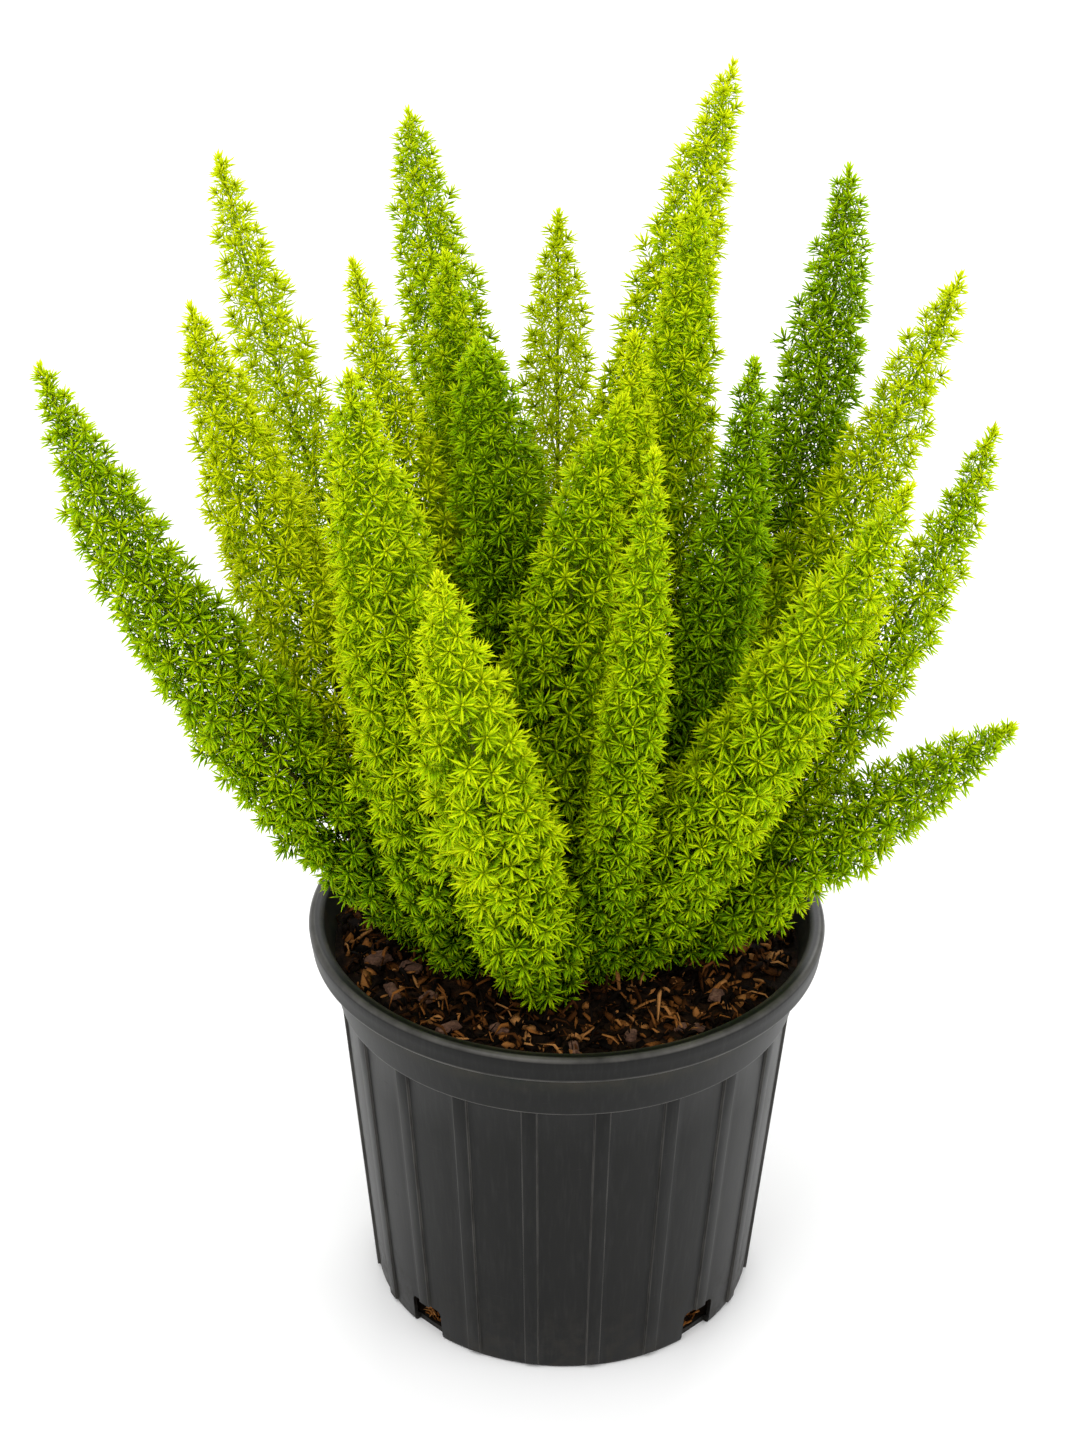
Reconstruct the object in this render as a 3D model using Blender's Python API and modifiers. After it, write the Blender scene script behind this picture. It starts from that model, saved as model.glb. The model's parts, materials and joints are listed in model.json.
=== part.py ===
"""Foxtail fern in a 10 inch nursery pot: the pot, its potting mix, the root crown and 21 plumes.

Metres, +Z up, -Y is the front. The origin is the middle of the pot's flat underside.
Each plume is a bare stem with a sleeve of foliage round it, and grows out of a socket in the crown.
"""

import math

import bmesh
import bpy
from mathutils import Vector

# Pot
POT_HEIGHT = 0.209
RIM_RADIUS = 0.127  # outside of the rolled rim
RIM_LIP = 0.0025  # roundness of the rim's upper edge
RIM_WIDTH = 0.0065  # from the rim's outside in to its inner lip
RIM_OVERHANG = 0.009  # from the rim's outside in to the top of the collar
BAND_HEIGHT = 0.0135  # upright band under the lip
BAND_DRAFT = 0.0015
COLLAR_HEIGHT = 0.0275
COLLAR_DRAFT = 0.005
COLLAR_TOP_RADIUS = RIM_RADIUS - RIM_OVERHANG
COLLAR_LOW_RADIUS = COLLAR_TOP_RADIUS - COLLAR_DRAFT
COLLAR_LOW_Z = POT_HEIGHT - BAND_HEIGHT - COLLAR_HEIGHT
STEP = 0.002  # ledge under the collar
BASE_RADIUS = 0.0955
BASE_EDGE = 0.002
WALL = 0.0022
FLOOR = 0.0025
INNER_LIP_RADIUS = RIM_RADIUS - RIM_WIDTH
INNER_LIP_DEPTH = 0.005
POT_SIDES = 80

# Ribs and drain notches on the pot
RIBS = 20
RIB_TOP_WIDTH = 0.0077
RIB_BASE_WIDTH = 0.0067
RIB_STAND = 0.0013  # how far a rib stands off the wall
RIB_DRAFT = 0.75  # its face against its root, across
NOTCHES = 4
NOTCH_WIDTH = 0.020
NOTCH_HEIGHT = 0.018
NOTCH_CORNER = 0.003
WASHOUT = 0.012  # how far the mix has washed out behind each notch

# Potting mix and root crown
MIX_DROP = 0.014  # from the top of the rim down to the mix
MIX_Z = POT_HEIGHT - MIX_DROP
MIX_GAP = 0.0003
MIX_SIDES = 40
CROWN_RADIUS = 0.058
CROWN_DEPTH = 0.014  # below the top of the mix
CROWN_RISE = 0.005  # above it
CROWN_TAPER = 0.012
CROWN_SIDES = 32
FEET_MARGIN = 0.008  # from the crown's edge in to the outermost stems
FEET_RADIUS = CROWN_RADIUS - FEET_MARGIN

# Stems and their sleeves of foliage
FOOT_RISE = 0.001  # a stem's foot above the top of the mix
FOOT_Z = MIX_Z + FOOT_RISE
STEM_FOOT_RADIUS = 0.0022
STEM_TIP_RADIUS = 0.0013
STEM_SHARE = 0.93  # part of the plume's length that the stem reaches
STEM_POINTS = 8
SOCKET_DEPTH = 0.007
SOCKET_GAP = 0.0003
BORE_GAP = 0.0004
BORE_END = 0.001
SLEEVE_POINTS = 13
SLEEVE_LIFT = 0.006  # the sleeve starts this far above the foot
SLEEVE_FILL = 0.92  # the sleeve against the needle tips
SLEEVE_GAP = 0.0010  # between neighbouring sleeves
GROUND_GAP = 0.0010  # between a sleeve and what is under it
TUFT = 0.10  # every second ring is drawn in by this share

# Loose bark chips on the mix
CHIP_GAP = 0.0004
CHIP_EDGE = 0.0008

# One row for each plume: foot azimuth, foot ring (percent of FEET_RADIUS), azimuth of the lean, lean
# at the foot, lean at the tip, length (mm), girth radius (mm), tone. Degrees; azimuth 0 is +X.
PLUMES = [
    (188, 98, -168, 44, 17, 375, 27, "mid"),
    (169, 96, 172, 31, 13, 345, 26, "bright"),
    (133, 84, 146, 37, 14, 395, 21, "bright"),
    (206, 100, -130, 17, 10, 345, 30, "bright"),
    (258, 96, -120, 25, 15, 280, 31, "bright"),
    (152, 42, 166, 15, 13, 350, 21, "bright"),
    (110, 86, 121, 18, 20, 390, 22, "mid"),
    (99, 34, 139, 22, 4, 340, 20, "mid"),
    (191, 14, 150, 5, 11, 310, 22, "deep"),
    (88, 64, 95, 35, 0, 345, 22, "mid"),
    (72, 86, 55, 0, 29, 420, 26, "bright"),
    (35, 50, 22, 7, 4, 375, 23, "mid"),
    (340, 18, -27, 8, -1, 325, 18, "bright"),
    (266, 62, -1, -8, 17, 305, 29, "mid"),
    (288, 82, -68, 18, 3, 310, 19, "bright"),
    (344, 54, 1, 17, 3, 315, 22, "deep"),
    (44, 90, 34, 33, 2, 385, 20, "deep"),
    (24, 80, 19, 28, 22, 355, 21, "bright"),
    (310, 68, -28, 28, 23, 320, 30, "bright"),
    (4, 88, 4, 43, 15, 310, 20, "mid"),
    (337, 84, -4, 52, 50, 215, 21, "mid"),
]

# Share of the girth along a plume, foot to tip
OUTLINE = [
    (0, 0.45), (0.1, 0.68), (0.2, 0.87), (0.35, 1), (0.5, 1),
    (0.65, 0.86), (0.8, 0.6), (0.9, 0.36), (0.96, 0.2), (1, 0.08),
]

# Loose chips: azimuth, distance in from the rim, length, width, thickness (mm), turn (degrees)
CHIPS = [
    (196, 31, 14, 9, 4, 30), (203, 45, 11, 7, 3, -50), (212, 28, 12, 6, 3, 80),
    (221, 39, 10, 7, 3, 15), (236, 27, 13, 6, 3, -20), (249, 37, 9, 6, 3, 60),
    (272, 28, 12, 5, 3, 5), (289, 34, 9, 6, 3, -35), (306, 27, 14, 6, 3, 50),
    (323, 37, 10, 7, 3, -70), (64, 29, 12, 7, 3, 25), (118, 30, 11, 8, 3, -15),
]


def new_collection(name):
    group = bpy.data.collections.new(name)
    bpy.context.scene.collection.children.link(group)
    return group


def material(name, colour, roughness):
    mat = bpy.data.materials.new(name)
    mat.use_nodes = True
    shader = mat.node_tree.nodes["Principled BSDF"]
    shader.inputs["Base Color"].default_value = (*colour, 1)
    shader.inputs["Roughness"].default_value = roughness
    shader.inputs["Metallic"].default_value = 0
    return mat


def polar(azimuth, radius, z=0.0):
    angle = math.radians(azimuth)
    return Vector((radius * math.cos(angle), radius * math.sin(angle), z))


def between(x, table):
    """Straight-line reading of a table of (x, y) pairs."""
    for (x0, y0), (x1, y1) in zip(table, table[1:]):
        if x <= x1:
            return y0 + (y1 - y0) * (x - x0) / (x1 - x0)
    return table[-1][1]


def corner(centre, radius, start, end, steps):
    """Points round a corner, from angle start to angle end."""
    angles = [math.radians(start + (end - start) * i / steps) for i in range(steps + 1)]
    return [(centre[0] + radius * math.cos(a), centre[1] + radius * math.sin(a)) for a in angles]


def add_object(name, mesh, group):
    thing = bpy.data.objects.new(name, mesh)
    group.objects.link(thing)
    return thing


def as_helper(thing):
    thing.hide_render = True
    thing.display_type = "WIRE"
    return thing


def add_mesh(name, bm, group):
    mesh = bpy.data.meshes.new(name)
    bm.to_mesh(mesh)
    bm.free()
    return add_object(name, mesh, group)


def boolean(thing, other, operation):
    change = thing.modifiers.new(operation.lower(), "BOOLEAN")
    change.operation = operation
    change.object = other


def turned(name, profile, sides, group):
    """A (radius, z) profile with both ends on the axis, turned about Z."""
    bm = bmesh.new()
    points = [bm.verts.new((r, 0, z)) for r, z in profile]
    for a, b in zip(points, points[1:]):
        bm.edges.new((a, b))
    thing = add_mesh(name, bm, group)
    screw = thing.modifiers.new("turn", "SCREW")
    screw.axis = "Z"
    screw.angle = math.tau
    screw.steps = sides
    screw.render_steps = sides
    screw.use_merge_vertices = True
    screw.merge_threshold = 1e-5
    screw.use_smooth_shade = False
    return thing


def tube(name, points, radii, resolution, group):
    """A closed tube along points with a radius at each; resolution 1 is six-sided, 3 is ten-sided."""
    curve = bpy.data.curves.new(name, "CURVE")
    curve.dimensions = "3D"
    curve.bevel_depth = 0.001
    curve.bevel_resolution = resolution
    curve.use_fill_caps = True
    curve.render_resolution_u = 0
    spline = curve.splines.new("POLY")
    spline.points.add(len(points) - 1)
    for knot, place, radius in zip(spline.points, points, radii):
        knot.co = (*place, 1)
        knot.radius = radius / curve.bevel_depth
    path = add_object(name + "_path", curve, group)
    bpy.context.view_layer.update()
    shaped = path.evaluated_get(bpy.context.evaluated_depsgraph_get())
    mesh = bpy.data.meshes.new_from_object(shaped)
    bpy.data.objects.remove(path)
    mesh.name = name
    bm = bmesh.new()
    bm.from_mesh(mesh)
    bmesh.ops.remove_doubles(bm, verts=bm.verts, dist=1e-6)
    bmesh.ops.recalc_face_normals(bm, faces=bm.faces)
    bm.to_mesh(mesh)
    bm.free()
    return add_object(name, mesh, group)


def joined(name, things, group):
    """Separate cutters or ribs gathered into one helper mesh, in world space."""
    bpy.context.view_layer.update()
    bm = bmesh.new()
    for thing in things:
        thing.data.transform(thing.matrix_world)
        bm.from_mesh(thing.data)
        bpy.data.objects.remove(thing)
    return as_helper(add_mesh(name, bm, group))


def wall_radius(z):
    """Outside of the pot's plain wall, under the collar."""
    top = COLLAR_LOW_RADIUS - STEP
    return BASE_RADIUS + (top - BASE_RADIUS) * z / COLLAR_LOW_Z


def pot_profile():
    band_low = POT_HEIGHT - BAND_HEIGHT
    lip_z = POT_HEIGHT - RIM_LIP
    inside = [
        (0, FLOOR),
        (wall_radius(FLOOR) - WALL, FLOOR),
        (wall_radius(COLLAR_LOW_Z) - WALL, COLLAR_LOW_Z),
        (COLLAR_TOP_RADIUS - WALL, band_low),
        (INNER_LIP_RADIUS - 0.0015, POT_HEIGHT - INNER_LIP_DEPTH),
        (INNER_LIP_RADIUS, lip_z),
        (INNER_LIP_RADIUS + 0.0015, POT_HEIGHT),
    ]
    outside = corner((RIM_RADIUS - RIM_LIP, lip_z), RIM_LIP, 90, 0, 4) + [
        (RIM_RADIUS - BAND_DRAFT, band_low + 0.002),
        (RIM_RADIUS - BAND_DRAFT - 0.002, band_low),
        (COLLAR_TOP_RADIUS, band_low),
        (COLLAR_LOW_RADIUS, COLLAR_LOW_Z),
        (wall_radius(COLLAR_LOW_Z - 0.001), COLLAR_LOW_Z - 0.001),
    ]
    foot = corner((BASE_RADIUS - BASE_EDGE, BASE_EDGE), BASE_EDGE, 0, -90, 3)
    return inside + outside + foot + [(0, 0)]


def rib(index, group):
    """An upright rib, tapered in width, let into the wall and ending inside the collar."""
    bm = bmesh.new()
    bmesh.ops.create_cube(bm, size=1)
    for vert in bm.verts:
        high = vert.co.z > 0
        z = COLLAR_LOW_Z + 0.002 if high else BASE_EDGE
        width = RIB_TOP_WIDTH if high else RIB_BASE_WIDTH
        if vert.co.x > 0:
            vert.co = (wall_radius(z) + RIB_STAND, vert.co.y * width * RIB_DRAFT, z)
        else:
            vert.co = (wall_radius(z) - WALL / 2, vert.co.y * width, z)
    thing = add_mesh("rib", bm, group)
    thing.rotation_euler.z = math.radians(-90 + (index + 0.5) * 360 / RIBS)
    return thing


def notch(index, low_radius, high_radius, grow, group):
    """An upright block with rounded upper corners, standing across the foot of the wall."""
    half = NOTCH_WIDTH / 2 + grow
    top = NOTCH_HEIGHT + grow
    outline = [(half, -0.002)]
    outline += corner((half - NOTCH_CORNER, top - NOTCH_CORNER), NOTCH_CORNER, 0, 90, 3)
    outline += corner((NOTCH_CORNER - half, top - NOTCH_CORNER), NOTCH_CORNER, 90, 180, 3)
    outline += [(-half, -0.002)]
    bm = bmesh.new()
    face = bm.faces.new([bm.verts.new((low_radius, y, z)) for y, z in outline])
    grown = bmesh.ops.extrude_face_region(bm, geom=[face])["geom"]
    moved = [v for v in grown if isinstance(v, bmesh.types.BMVert)]
    bmesh.ops.translate(bm, verts=moved, vec=(high_radius - low_radius, 0, 0))
    bmesh.ops.recalc_face_normals(bm, faces=bm.faces)
    thing = add_mesh("notch", bm, group)
    thing.rotation_euler.z = math.radians(45 + index * 360 / NOTCHES)
    return thing


def make_pot(parts, helpers):
    pot = turned("nursery_pot", pot_profile(), POT_SIDES, parts)
    boolean(pot, joined("ribs", [rib(i, helpers) for i in range(RIBS)], helpers), "UNION")
    inner = BASE_RADIUS - 2 * WALL
    outer = BASE_RADIUS + 0.01
    blocks = [notch(i, inner, outer, 0, helpers) for i in range(NOTCHES)]
    boolean(pot, joined("notches", blocks, helpers), "DIFFERENCE")
    return [pot]


def crown_height(radius):
    """Top of the root crown, and of the mix beyond it."""
    share = min(radius / CROWN_RADIUS, 1)
    return MIX_Z + CROWN_RISE * (1 - share**2)


def make_mix(parts, helpers):
    """The mix fills the pot up to MIX_Z, with a seat for the crown and a wash-out at each notch."""
    band_low = POT_HEIGHT - BAND_HEIGHT
    gap = MIX_GAP + 0.0002  # the flats of a many-sided wall lie inside its corners
    low = FLOOR + MIX_GAP
    collar_inside = wall_radius(COLLAR_LOW_Z) - WALL
    rise = (MIX_Z - COLLAR_LOW_Z) / (band_low - COLLAR_LOW_Z)
    edge = collar_inside + (COLLAR_TOP_RADIUS - WALL - collar_inside) * rise
    profile = [
        (0, MIX_Z - CROWN_DEPTH - MIX_GAP),
        (CROWN_RADIUS - CROWN_TAPER + MIX_GAP, MIX_Z - CROWN_DEPTH - MIX_GAP),
        (CROWN_RADIUS + 2 * MIX_GAP, MIX_Z),
        (edge - gap, MIX_Z),
        (collar_inside - gap, COLLAR_LOW_Z),
        (wall_radius(FLOOR) - WALL - gap, low),
        (0, low),
    ]
    mix = turned("potting_mix", profile, MIX_SIDES, parts)
    inner = BASE_RADIUS - WALL - WASHOUT
    blocks = [notch(i, inner, BASE_RADIUS, 0.002, helpers) for i in range(NOTCHES)]
    boolean(mix, joined("washouts", blocks, helpers), "DIFFERENCE")
    return [mix]


def along(plume, share):
    """Place and heading on a plume's centreline, which bends evenly in one upright plane."""
    foot_azimuth, foot_ring, azimuth, lean, tip_lean, length = plume[:6]
    start = math.radians(lean)
    bend = math.radians(tip_lean - lean) or 1e-6
    angle = start + bend * share
    out = (math.cos(start) - math.cos(angle)) / bend * length / 1000
    up = (math.sin(angle) - math.sin(start)) / bend * length / 1000
    place = polar(foot_azimuth, foot_ring / 100 * FEET_RADIUS, FOOT_Z) + polar(azimuth, out, up)
    heading = polar(azimuth, math.sin(angle), math.cos(angle))
    return place, heading


def sleeve_radius(plume, share, others):
    """Outer radius of a sleeve: its own outline, less where a neighbour or the ground is near."""
    place, heading = along(plume, share)
    girth = plume[6] / 1000
    radius = girth * between(share, OUTLINE) * SLEEVE_FILL
    for line, other_girth in others:
        near = min((place - point).length for point in line)
        radius = min(radius, near * girth / (girth + other_girth) - SLEEVE_GAP / 2)
    ring = math.hypot(place.x, place.y)
    tilt = max(math.hypot(heading.x, heading.y), 0.15)
    ground = crown_height(max(ring - 0.01, 0)) + GROUND_GAP
    return min(radius, (place.z - ground) / tilt)


def stem_line(plume, end_share, extra):
    """Points and radii of a stem, from its socket to end_share of the plume."""
    foot, heading = along(plume, 0)
    points = [foot - heading * SOCKET_DEPTH]
    radii = [STEM_FOOT_RADIUS + extra]
    for i in range(STEM_POINTS):
        share = i / (STEM_POINTS - 1)
        points.append(along(plume, share * end_share)[0])
        radii.append(STEM_FOOT_RADIUS + (STEM_TIP_RADIUS - STEM_FOOT_RADIUS) * share + extra)
    return points, radii


def make_plume(number, plume, others, parts, helpers):
    """A stem and the hollow sleeve of foliage that it runs up inside."""
    points, radii = stem_line(plume, STEM_SHARE, 0)
    stem = tube("stem_%02d" % number, points, radii, 1, parts)
    length, lean = plume[5] / 1000, math.radians(plume[3])
    first = SLEEVE_LIFT / math.cos(lean) / length
    shares = [first + (1 - first) * i / (SLEEVE_POINTS - 1) for i in range(SLEEVE_POINTS)]
    radii = [
        sleeve_radius(plume, share, others) * (1 - TUFT * (i % 2))
        for i, share in enumerate(shares)
    ]
    sleeve = tube("plume_%02d" % number, [along(plume, s)[0] for s in shares], radii, 3, parts)
    flat_to_corner = 1 / math.cos(math.pi / 6)
    points, radii = stem_line(plume, STEM_SHARE, BORE_GAP)
    points[-1] = points[-1] + along(plume, STEM_SHARE)[1] * BORE_END
    radii = [radius * flat_to_corner for radius in radii]
    boolean(sleeve, as_helper(tube("bore_%02d" % number, points, radii, 1, helpers)), "DIFFERENCE")
    return stem, sleeve


def make_plumes(parts, helpers):
    lines = [[along(plume, i / 24)[0] for i in range(25)] for plume in PLUMES]
    girths = [plume[6] / 1000 for plume in PLUMES]
    stems, sleeves = [], []
    for number, plume in enumerate(PLUMES, 1):
        others = [pair for i, pair in enumerate(zip(lines, girths), 1) if i != number]
        stem, sleeve = make_plume(number, plume, others, parts, helpers)
        stems.append(stem)
        sleeves.append(sleeve)
    return stems, sleeves


def socket(plume, group):
    """A straight round cutter on the line of a plume's foot."""
    foot, heading = along(plume, 0)
    low, high = SOCKET_DEPTH + SOCKET_GAP, 0.012
    bm = bmesh.new()
    radius = (STEM_FOOT_RADIUS + SOCKET_GAP) / math.cos(math.pi / 8)
    bmesh.ops.create_cone(bm, cap_ends=True, segments=8, radius1=radius, radius2=radius, depth=low + high)
    thing = add_mesh("socket", bm, group)
    thing.rotation_mode = "QUATERNION"
    thing.rotation_quaternion = heading.to_track_quat("Z", "Y")
    thing.location = foot + heading * (high - low) / 2
    return thing


def make_crown(parts, helpers):
    """The matted stem bases and root tops that the stems grow from."""
    rings = [CROWN_RADIUS * share for share in (0, 0.35, 0.65, 0.87, 1)]
    profile = [(ring, crown_height(ring) + MIX_GAP) for ring in rings]
    low = MIX_Z - CROWN_DEPTH
    profile += [(CROWN_RADIUS - CROWN_TAPER, low), (0, low)]
    crown = turned("root_crown", profile, CROWN_SIDES, parts)
    cutters = joined("sockets", [socket(plume, helpers) for plume in PLUMES], helpers)
    boolean(crown, cutters, "DIFFERENCE")
    return [crown]


def make_chip(number, row, parts):
    azimuth, inset, length, width, thick, turn = row
    bm = bmesh.new()
    bmesh.ops.create_cube(bm, size=1)
    size = (length / 1000, width / 1000, thick / 1000)
    bmesh.ops.scale(bm, verts=bm.verts, vec=size)
    for vert in bm.verts:
        if vert.co.z > 0:
            vert.co.x *= 0.8
            vert.co.y *= 0.7
    chip = add_mesh("bark_chip_%02d" % number, bm, parts)
    chip.location = polar(azimuth, RIM_RADIUS - inset / 1000, MIX_Z + CHIP_GAP + size[2] / 2)
    chip.rotation_euler.z = math.radians(azimuth + turn)
    edge = chip.modifiers.new("edge", "BEVEL")
    edge.width = CHIP_EDGE
    edge.segments = 1
    return chip


def paint(things, mat):
    for thing in things:
        thing.data.materials.clear()
        thing.data.materials.append(mat)


def main():
    for thing in list(bpy.data.objects):
        bpy.data.objects.remove(thing, do_unlink=True)
    parts = new_collection("potted_foxtail_fern")
    helpers = new_collection("cutters")
    paint(make_pot(parts, helpers), material("pot_plastic", (0.035, 0.035, 0.034), 0.45))
    paint(make_mix(parts, helpers), material("bark_mix", (0.060, 0.028, 0.014), 0.95))
    paint(make_crown(parts, helpers), material("root_wood", (0.075, 0.055, 0.022), 0.9))
    stems, sleeves = make_plumes(parts, helpers)
    paint(stems, material("stem_green", (0.10, 0.13, 0.025), 0.6))
    tones = {
        "bright": material("foliage_bright", (0.39, 0.53, 0.02), 0.55),
        "mid": material("foliage_mid", (0.19, 0.36, 0.015), 0.55),
        "deep": material("foliage_deep", (0.07, 0.19, 0.01), 0.55),
    }
    for plume, sleeve in zip(PLUMES, sleeves):
        paint([sleeve], tones[plume[7]])
    chips = [make_chip(number, row, parts) for number, row in enumerate(CHIPS, 1)]
    paint(chips, material("bark_chip", (0.17, 0.085, 0.045), 0.85))


main()
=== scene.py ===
# %% [markdown]
# # A potted foxtail fern
#
# A foxtail fern is a clump of bottle-brush plumes. Each plume is one upright stem with hundreds of short
# side branchlets, and each branchlet carries whorls of needles and ends in a little star of them.
# The clump stands in bark mix in a ribbed plastic nursery pot. This lesson builds it round a fixed CAD
# frame: the frame says where every stem and the pot are, and the cells below make how they look.

# %% The frame
import json
import math

import bpy
import numpy as np
from mathutils import Matrix, Vector, noise

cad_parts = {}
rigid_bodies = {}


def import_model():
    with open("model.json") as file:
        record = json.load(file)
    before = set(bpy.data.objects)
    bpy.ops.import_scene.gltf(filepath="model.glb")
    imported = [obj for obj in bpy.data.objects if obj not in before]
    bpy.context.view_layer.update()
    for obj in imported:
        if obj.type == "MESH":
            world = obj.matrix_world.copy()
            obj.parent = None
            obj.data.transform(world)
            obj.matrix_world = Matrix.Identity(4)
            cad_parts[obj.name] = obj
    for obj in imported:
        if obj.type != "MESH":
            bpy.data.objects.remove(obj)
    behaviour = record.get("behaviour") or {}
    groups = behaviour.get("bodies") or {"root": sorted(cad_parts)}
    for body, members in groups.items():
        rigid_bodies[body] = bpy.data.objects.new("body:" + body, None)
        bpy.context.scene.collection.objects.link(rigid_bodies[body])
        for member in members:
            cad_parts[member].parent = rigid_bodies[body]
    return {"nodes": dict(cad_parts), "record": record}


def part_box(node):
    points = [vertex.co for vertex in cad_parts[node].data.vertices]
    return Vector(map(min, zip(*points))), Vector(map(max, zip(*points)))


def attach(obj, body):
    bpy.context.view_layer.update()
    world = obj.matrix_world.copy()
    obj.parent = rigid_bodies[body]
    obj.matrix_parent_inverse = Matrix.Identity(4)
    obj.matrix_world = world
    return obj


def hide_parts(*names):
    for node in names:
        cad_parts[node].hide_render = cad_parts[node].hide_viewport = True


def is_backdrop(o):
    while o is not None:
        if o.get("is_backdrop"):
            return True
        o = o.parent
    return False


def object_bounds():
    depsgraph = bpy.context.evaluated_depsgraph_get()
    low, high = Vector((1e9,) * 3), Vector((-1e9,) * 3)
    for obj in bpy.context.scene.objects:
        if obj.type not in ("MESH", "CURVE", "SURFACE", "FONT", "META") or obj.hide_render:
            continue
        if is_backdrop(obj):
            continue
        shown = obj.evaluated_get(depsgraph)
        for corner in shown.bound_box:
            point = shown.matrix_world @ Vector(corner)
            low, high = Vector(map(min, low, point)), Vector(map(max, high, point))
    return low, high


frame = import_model()
cad_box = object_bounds()
bpy.ops.object.select_all(action="DESELECT")
nodes = frame["nodes"]
slots = {part["node"]: part["material_slot"] for part in frame["record"]["subparts"]}
MM = 0.001
print("frame:", len(nodes), "nodes")

# %% [markdown]
# ## Camera
#
# A long lens a metre and a half away looks down on the clump by about thirty degrees and leans by half a
# degree. The picture is upright, so the lens is given on the long side.

# %% Camera
LENS = 84.5
LOOK_DOWN = 29.74
CAMERA_LEAN = 0.58
CAMERA_PLACE = (-0.0127, -1.4086, 1.1200)

lens = bpy.data.cameras.new("camera")
lens.lens = LENS
lens.sensor_width = 36
lens.clip_start = 0.05
lens.clip_end = 50
camera = bpy.data.objects.new("camera", lens)
bpy.context.scene.collection.objects.link(camera)
tilt = Matrix.Rotation(math.radians(90 - LOOK_DOWN), 4, "X")
lean = Matrix.Rotation(math.radians(CAMERA_LEAN), 4, "Z")
camera.matrix_world = Matrix.Translation(CAMERA_PLACE) @ tilt @ lean
bpy.context.scene.camera = camera
print("camera:", LENS, "mm,", LOOK_DOWN, "degrees down")

# %% [markdown]
# ## Shader maths as Python
#
# A number that varies over a surface is a socket in the node tree. Wrapping it in a small class lets us
# write `1 - dust * 0.4` and have the Math nodes appear by themselves. Everything else, such as a noise or
# a ramp, comes from one method that takes the node's type, its settings and its sockets.


# %% Shader helpers
class Value:
    """A number that varies over a surface. Arithmetic on it adds Math nodes."""

    def __init__(self, finish, socket):
        self.finish = finish
        self.socket = socket

    def math(self, operation, other, swap=False):
        pair = [other, self] if swap else [self, other]
        return self.finish.node("ShaderNodeMath", {"operation": operation}, dict(enumerate(pair)))

    def __add__(self, other):
        return self.math("ADD", other)

    def __sub__(self, other):
        return self.math("SUBTRACT", other)

    def __rsub__(self, other):
        return self.math("SUBTRACT", other, swap=True)

    def __mul__(self, other):
        return self.math("MULTIPLY", other)

    def __pow__(self, other):
        return self.math("POWER", other)

    __radd__ = __add__
    __rmul__ = __mul__

    def over(self, low, high):
        """0 below low, 1 above high, straight between."""
        return self.finish.node("ShaderNodeMapRange", {}, {0: self, 1: low, 2: high})


class Finish:
    """One material. Its nodes are added by node(), and paint() wires its shader."""

    def __init__(self, name, **shader_values):
        self.material = bpy.data.materials.new(name)
        self.material.use_nodes = True
        self.tree = self.material.node_tree
        self.shader = self.tree.nodes["Principled BSDF"]
        for socket, value in shader_values.items():
            self.shader.inputs[socket.replace("_", " ")].default_value = value

    def fill(self, socket, value):
        """Link a varying value to a socket, or set a fixed one on it."""
        if isinstance(value, Value):
            self.tree.links.new(value.socket, socket)
        else:
            socket.default_value = value

    def node(self, kind, settings=None, sockets=None, output=0):
        """A new node. A ramp's stops are pairs of a share and a colour."""
        new = self.tree.nodes.new(kind)
        for name, value in (settings or {}).items():
            if name == "stops":
                ramp = new.color_ramp
                while len(ramp.elements) < len(value):
                    ramp.elements.new(0.5)
                for stop, (place, colour) in zip(ramp.elements, value):
                    stop.position = place
                    stop.color = (*colour, 1)
            else:
                setattr(new, name, value)
        for name, value in (sockets or {}).items():
            self.fill(new.inputs[name], value)
        return Value(self, new.outputs[output])

    def place(self):
        """The point on the object, in metres."""
        return self.node("ShaderNodeTexCoord", output="Object")

    def chart(self):
        """The point on the map that the copied pieces carry."""
        return self.node("ShaderNodeUVMap", {"uv_map": "OFBake"})

    def split(self, vector):
        """The x, y and z of a vector as three values."""
        parts = self.node("ShaderNodeSeparateXYZ", {}, {0: vector})
        return [Value(self, socket) for socket in parts.socket.node.outputs]

    def noise(self, where, scale, detail=3.0, roughness=0.55, stretch=None):
        if stretch:
            where = self.node("ShaderNodeMapping", {}, {"Vector": where, "Scale": stretch})
        sockets = {"Vector": where, "Scale": scale, "Detail": detail, "Roughness": roughness}
        return self.node("ShaderNodeTexNoise", {}, sockets)

    def mix(self, share, first, second):
        """Two colours mixed. A fixed colour is three numbers."""
        first, second = [c if isinstance(c, Value) else (*c, 1) for c in (first, second)]
        return self.node("ShaderNodeMix", {"data_type": "RGBA"}, {0: share, 6: first, 7: second}, output=2)

    def ramp(self, share, stops):
        return self.node("ShaderNodeValToRGB", {"stops": stops}, {0: share})

    def bump(self, height, distance, strength=1.0):
        sockets = {"Height": height, "Distance": distance, "Strength": strength}
        return self.node("ShaderNodeBump", {}, sockets)

    def paint(self, **sockets):
        for name, value in sockets.items():
            self.fill(self.shader.inputs[name.replace("_", " ")], value)


print("shader helpers ready")

# %% [markdown]
# ## Modelling helpers
#
# Operators act on whatever is selected, so a new piece always starts from an empty selection. The pot, the
# mix and the crown are turned shapes. Their outline is drawn by extruding one point in edit mode, and Spin
# then turns it. Every finished piece keeps its object at the origin, with its place in its mesh.


# %% Modelling helpers
def deselect():
    if bpy.context.object and bpy.context.object.mode != "OBJECT":
        bpy.ops.object.mode_set(mode="OBJECT")
    bpy.ops.object.select_all(action="DESELECT")


def only(piece):
    deselect()
    piece.select_set(True)
    bpy.context.view_layer.objects.active = piece


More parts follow.
